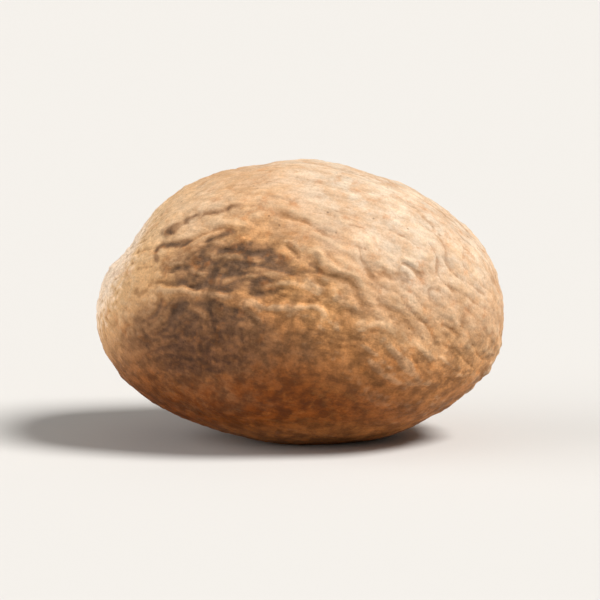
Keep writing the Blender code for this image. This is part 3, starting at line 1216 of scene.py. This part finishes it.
@dataclass(frozen=True)
class Tones:
    """Where the finish's colors lie: each method gives 0 to 1 at every place."""

    patch_ovals: tuple[Oval, ...] = (
        Oval(-4.2, 2.1, 4.0, 1.75),  # the upper patch
        Oval(-6.2, -1.8, 3.9, 2.2, 0.9),  # painted shadow under the lower patch
        Oval(-5.4, -4.2, 5.4, 3.4, 0.6),  # the shade under it
        Oval(1.8, -2.8, 2.1, 1.3, 0.4),  # a faint one in the middle
        Oval(1.6, 2.4, 1.3, 0.9, 0.35),  # a faint darkening in the crook of the big crest
    )
    brow: Oval = Oval(-8.0, 6.2, 3.6, 2.2, 0.55)
    cheek: Oval = Oval(6.6, -4.6, 2.4, 1.6, 0.09)
    lane_width: float = 0.55 * MM
    lane_share: float = 0.41
    crease_shade_width: float = 0.48 * MM
    crease_shade_share: float = 0.80
    pit_width: float = 1.9 * MM
    behind_spacing: float = 9.0 * MM
    behind_seed: int = 51
    fray_reach: float = 0.35 * MM
    fray_spacing: float = 1.5 * MM
    fray_seed: int = 53
    scar_radius: float = 2.9 * MM
    ring_radius: float = 3.3 * MM
    ring_width: float = 1.7 * MM
    pit_ring_radius: float = 2.2 * MM
    pit_ring_width: float = 0.8 * MM
    pale_tilt: float = 0.85
    pale_reach: float = 7.0 * MM
    pale_span: Span = (0.5 * MM, 11.0 * MM)
    collar_radius: float = 6.6 * MM
    collar_span: Span = (-8.0 * MM, 1.0 * MM)
    blush_tilt: float = 0.41
    blush_reach: Span = (-5.0 * MM, 8.0 * MM)
    blush_span: Span = (-1.3 * MM, 8.8 * MM)
    bare_radius: float = 6.5 * MM
    sole_span: Span = (6.6 * MM, 8.6 * MM)

    def patch(self, places: Places) -> Array:
        """The grey-brown patches.

        Args:
            places: The places on the egg.

        Returns:
            The patch ovals, thin beside the long crest, with painted shadow under the lower patch; painted
            shade along the creases of SHADE_PAINTED_CREASES; and at half strength a few patches behind and
            one at the pit.
        """
        stream = np.random.default_rng(self.behind_seed)
        behind = smooth_step(places.ripples(self.behind_spacing, stream), 0.2, 2.2)
        behind = behind * smooth_step(-places.facing, -0.1, 0.4)
        pit = bump(places.to_chalaza, self.pit_width)
        lane = near_folds(places, LONG_CREST, self.lane_width)
        front = sum(oval.share(places) for oval in self.patch_ovals) * (1 - self.lane_share * lane)
        # Painted shade: the grey-brown laid along those creases.
        crease_shade = self.crease_shade_share * near_folds(places, SHADE_PAINTED_CREASES, self.crease_shade_width)
        return np.clip(np.maximum(front, crease_shade) + 0.5 * behind + 0.5 * pit, 0, 1)

    def bloom(self, places: Places) -> Array:
        """The pale, dusty film.

        Args:
            places: The places on the egg.

        Returns:
            Nearly 1 on the scar, less in a frayed ring round it, and a little round the pit.
        """
        fray = places.ripples(self.fray_spacing, np.random.default_rng(self.fray_seed), spread=0.4)
        away = places.to_hilum + self.fray_reach * fray
        scar = 0.95 * bump(away, self.scar_radius)
        ring = 0.65 * bump(away - self.ring_radius, self.ring_width) * (0.8 + 0.2 * fray)
        pit = 0.2 * bump(places.to_chalaza - self.pit_ring_radius, self.pit_ring_width)
        return np.clip(scar + ring + pit, 0, 1)

    def pale(self, places: Places) -> Array:
        """The paler tan, partly painted light: it grows towards the top and the +X end, where the key falls,
        and lies over the left brow.
        """
        slope = places.seen_up + self.pale_tilt * np.minimum(places.seen_along, self.pale_reach)
        return np.clip(smooth_step(slope, *self.pale_span) + self.brow.share(places), 0, 1)

    def collar(self, places: Places) -> Array:
        """The straw-colored skin round the scar, partly painted light on the left rim, which fades towards
        the foot.
        """
        return bump(places.to_hilum, self.collar_radius) * smooth_step(places.seen_up, *self.collar_span)

    def blush_and_shade(self, places: Places) -> Array:
        """The deeper, redder brown, partly the skin's own and partly painted shade.

        Args:
            places: The places on the egg.

        Returns:
            More towards the foot and the -X end and on the cheek, less round the scar and on the
            sole.
        """
        slope = -places.seen_up - self.blush_tilt * np.clip(places.seen_along, *self.blush_reach)
        bare = bump(places.to_hilum, self.bare_radius)
        sole = smooth_step(-places.seen_up, *self.sole_span)
        base = smooth_step(slope, *self.blush_span) + self.cheek.share(places)
        return np.clip(base * (1 - 0.95 * bare) * (1 - 0.5 * sole), 0, 1)


@dataclass(frozen=True)
class Kernel:
    """The whole nutmeg: its form, its skin and what the skin's finish reads."""

    egg: Egg = Egg()
    coarse: CoarseForm = CoarseForm()
    hilum: Hilum = Hilum()
    chalaza: Chalaza = Chalaza()
    skin: FineSkin = FineSkin()
    grid: SphereGrid = SphereGrid()
    tones: Tones = Tones()
    finish: SkinFinish = SkinFinish()
    flat_depth: float = 0.26 * MM
    near_rounds: int = 16
    near_relief: float = 0.045 * MM
    far_rounds: int = 120
    far_relief: float = 0.10 * MM
    relief_share: float = 0.6
    vein_share: float = 0.4
    flow_stretch: float = 4.0

    def build(self, low: Vector, high: Vector) -> bpy.types.Object:
        """Makes the piece.

        Args:
            low: The lowest corner of the box that it fills.
            high: The highest corner of that box.

        Returns:
            The skin as one mesh object, with its attributes and its material.
        """
        d, quads, sheet = self.grid.build()
        places = Places(self.egg, d)
        fine, vein = self.skin.height(places)
        folds = sum(fold.height(places) for fold in FOLDS)
        ends = self.hilum.height(places) + self.chalaza.height(places)
        height = self.coarse.height(places) + ends + folds + fine
        points = places.points + places.normals * height[:, None]
        points = self.settle(points, np.array(low), np.array(high))
        mesh = self.mesh(points, quads, sheet)
        self.paint(mesh, places, quads, height, vein)
        piece = bpy.data.objects.new("nutmeg_skin", mesh)
        bpy.context.scene.collection.objects.link(piece)
        mesh.materials.append(self.finish.build())
        return piece

    def settle(self, points: Array, low: Array, high: Array) -> Array:
        """Cuts the resting spot and fills the box exactly.

        Args:
            points: The skin's points, which are changed.
            low: The lowest corner of the box.
            high: The highest corner of the box.

        Returns:
            The points, flat up to flat_depth over the lowest one, then scaled along each axis.
        """
        floor = points[:, 2].min() + self.flat_depth
        points[:, 2] = np.maximum(points[:, 2], floor)
        lowest, highest = points.min(axis=0), points.max(axis=0)
        return low + (points - lowest) * (high - low) / (highest - lowest)

    def mesh(self, points: Array, quads: Whole, sheet: Array) -> bpy.types.Mesh:
        """Makes the closed mesh.

        Args:
            points: Its points.
            quads: The corners of its squares.
            sheet: The places of those corners on a flat sheet.

        Returns:
            The mesh, shaded smooth, with the sheet as its UV map.
        """
        mesh = bpy.data.meshes.new("nutmeg_skin")
        mesh.vertices.add(len(points))
        mesh.loops.add(quads.size)
        mesh.polygons.add(len(quads))
        mesh.vertices.foreach_set("co", points.astype(np.float32).ravel())
        mesh.loops.foreach_set("vertex_index", quads.astype(np.int32).ravel())
        mesh.polygons.foreach_set("loop_start", np.arange(0, quads.size, 4, dtype=np.int32))
        mesh.update(calc_edges=True)
        layer = mesh.uv_layers.new(name="OFBake")
        layer.data.foreach_set("uv", sheet.astype(np.float32).ravel())
        mesh.shade_smooth()
        return mesh

    def paint(
        self, mesh: bpy.types.Mesh, places: Places, quads: Whole, height: Array, vein: Array
    ) -> None:
        """Stores what the finish reads.

        Args:
            mesh: The skin.
            places: Where its corners are on the egg.
            quads: Its squares.
            height: The skin's height at each corner. The crest attribute is one half where it is
                level with its two blurred copies, up to 1 on a crest and down to 0 in a furrow.
            vein: 1 along a strong vein.
        """
        near = (height - blurred(height, quads, self.near_rounds)) / self.near_relief
        far = (height - blurred(height, quads, self.far_rounds)) / self.far_relief
        relief = self.relief_share * near + self.relief_share * far + self.vein_share * vein
        values = {
            "crest": 0.5 + 0.5 * np.tanh(relief),
            "pale": self.tones.pale(places),
            "collar": self.tones.collar(places),
            "patch": self.tones.patch(places),
            "bloom": self.tones.bloom(places),
            "blush_and_shade": self.tones.blush_and_shade(places),
        }
        for name, value in values.items():
            layer = mesh.attributes.new(name, "FLOAT", "POINT")
            layer.data.foreach_set("value", value.astype(np.float32))
        flow = places.drawn_out(self.flow_stretch, self.skin.pinch).astype(np.float32)
        mesh.attributes.new("flow", "FLOAT_VECTOR", "POINT").data.foreach_set("vector", flow.ravel())


@dataclass(frozen=True)
class Lamp:
    """A sun: the way that its light comes from, its strength, its spread and its color."""

    name: str
    way: Triple
    strength: float
    spread: float
    color: Triple = (1.0, 1.0, 1.0)

    def build(self) -> None:
        """Adds the sun to the scene."""
        light = bpy.data.lights.new(self.name, "SUN")
        light.energy = self.strength
        light.angle = math.radians(self.spread)
        light.color = self.color
        lamp = bpy.data.objects.new(self.name, light)
        lamp.location = Vector(self.way).normalized()
        lamp.rotation_euler = Vector(self.way).to_track_quat("Z", "Y").to_euler()
        bpy.context.scene.collection.objects.link(lamp)


@dataclass(frozen=True)
class Studio:
    """A pale floor, soft lamps, an even sky and a long lens that looks down a little."""

    floor_half: float = 8.0
    floor_color: Color = (0.62, 0.612, 0.60, 1)
    floor_roughness: float = 0.9
    sky_color: Color = (1.0, 0.975, 0.94, 1)
    sky_strength: float = 0.22
    lens: float = 400.0
    sensor: float = 36.0
    filled: float = 0.68
    backdrop_color: Color = (0.918, 0.884, 0.834, 1)
    lamps: tuple[Lamp, ...] = (
        Lamp("key", (0.58, -0.22, 0.80), 4.2, 22, (1.0, 0.975, 0.94)),
        Lamp("fill", (-1.00, -0.15, 0.35), 1.9, 60, (1.0, 0.98, 0.95)),
    )

    def build(self, egg: Egg, low: Vector, high: Vector) -> None:
        """Adds the floor, the lamps, the sky and the camera.

        Args:
            egg: The smooth kernel, which knows the sight line's tilt.
            low: The lowest corner of the object's box, whose height the floor takes.
            high: The highest corner of that box.
        """
        self.floor(low.z)
        for lamp in self.lamps:
            lamp.build()
        self.sky()
        self.camera(egg, low, high)
        bpy.context.scene.view_settings.view_transform = "Standard"

    def floor(self, level: float) -> None:
        """Adds a plain pale square, one face, which isn't part of the object.

        Args:
            level: Its height.
        """
        mesh = bpy.data.meshes.new("floor")
        corners = [(-1, -1), (1, -1), (1, 1), (-1, 1)]
        half = self.floor_half
        mesh.from_pydata([(x * half, y * half, level) for x, y in corners], [], [(0, 1, 2, 3)])
        material = bpy.data.materials.new("pale_floor")
        material.use_nodes = True
        tree = material.node_tree
        finish = {"Base Color": self.floor_color, "Roughness": self.floor_roughness}
        Desk(tree).feed(tree.nodes["Principled BSDF"], finish | {"Specular IOR Level": 0.0})
        mesh.materials.append(material)
        floor = bpy.data.objects.new("floor", mesh)
        bpy.context.scene.collection.objects.link(floor)

    def sky(self) -> None:
        """An even, faintly warm sky, which shows as pale as the floor past the floor's edge."""
        world = bpy.data.worlds.new("studio")
        world.use_nodes = True
        tree = world.node_tree
        desk = Desk(tree)
        sky = tree.nodes["Background"]
        desk.feed(sky, {"Color": self.sky_color, "Strength": self.sky_strength})
        backdrop = desk.add("ShaderNodeBackground", {"Color": self.backdrop_color})
        seen = desk.add("ShaderNodeLightPath").outputs["Is Camera Ray"]
        inputs = {"Fac": seen, 1: sky.outputs["Background"], 2: backdrop.outputs["Background"]}
        pick = desk.add("ShaderNodeMixShader", inputs)
        desk.feed(tree.nodes["World Output"], {"Surface": pick.outputs["Shader"]})
        bpy.context.scene.world = world

    def camera(self, egg: Egg, low: Vector, high: Vector) -> None:
        """Adds a long lens straight in front.

        Args:
            egg: The smooth kernel, which knows the sight line's tilt.
            low: The lowest corner of the object's box.
            high: The highest corner of that box, whose length fills its share of the view.
        """
        data = bpy.data.cameras.new("camera")
        data.lens = self.lens
        data.sensor_width = self.sensor
        distance = self.lens / self.sensor * (high.x - low.x) / self.filled
        back = Vector((0, -math.cos(egg.sight_tilt), math.sin(egg.sight_tilt)))
        camera = bpy.data.objects.new("camera", data)
        camera.location = (low + high) / 2 + back * distance
        camera.rotation_euler = back.to_track_quat("Z", "Y").to_euler()
        data.clip_start, data.clip_end = distance / 100, distance * 100
        bpy.context.scene.collection.objects.link(camera)
        bpy.context.scene.camera = camera


def main() -> None:
    """Loads the frame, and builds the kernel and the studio."""
    logging.basicConfig(level=logging.INFO, format="%(name)s: %(message)s")
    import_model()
    low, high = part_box(NODE)

    kernel = Kernel()
    piece = kernel.build(low, high)
    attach(piece, "root")
    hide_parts(NODE)
    LOG.info("%s: %d faces", piece.name, len(piece.data.polygons))

    Studio().build(kernel.egg, low, high)
    LOG.info("studio: floor, lamps and camera")


if __name__ == "__main__":
    main()
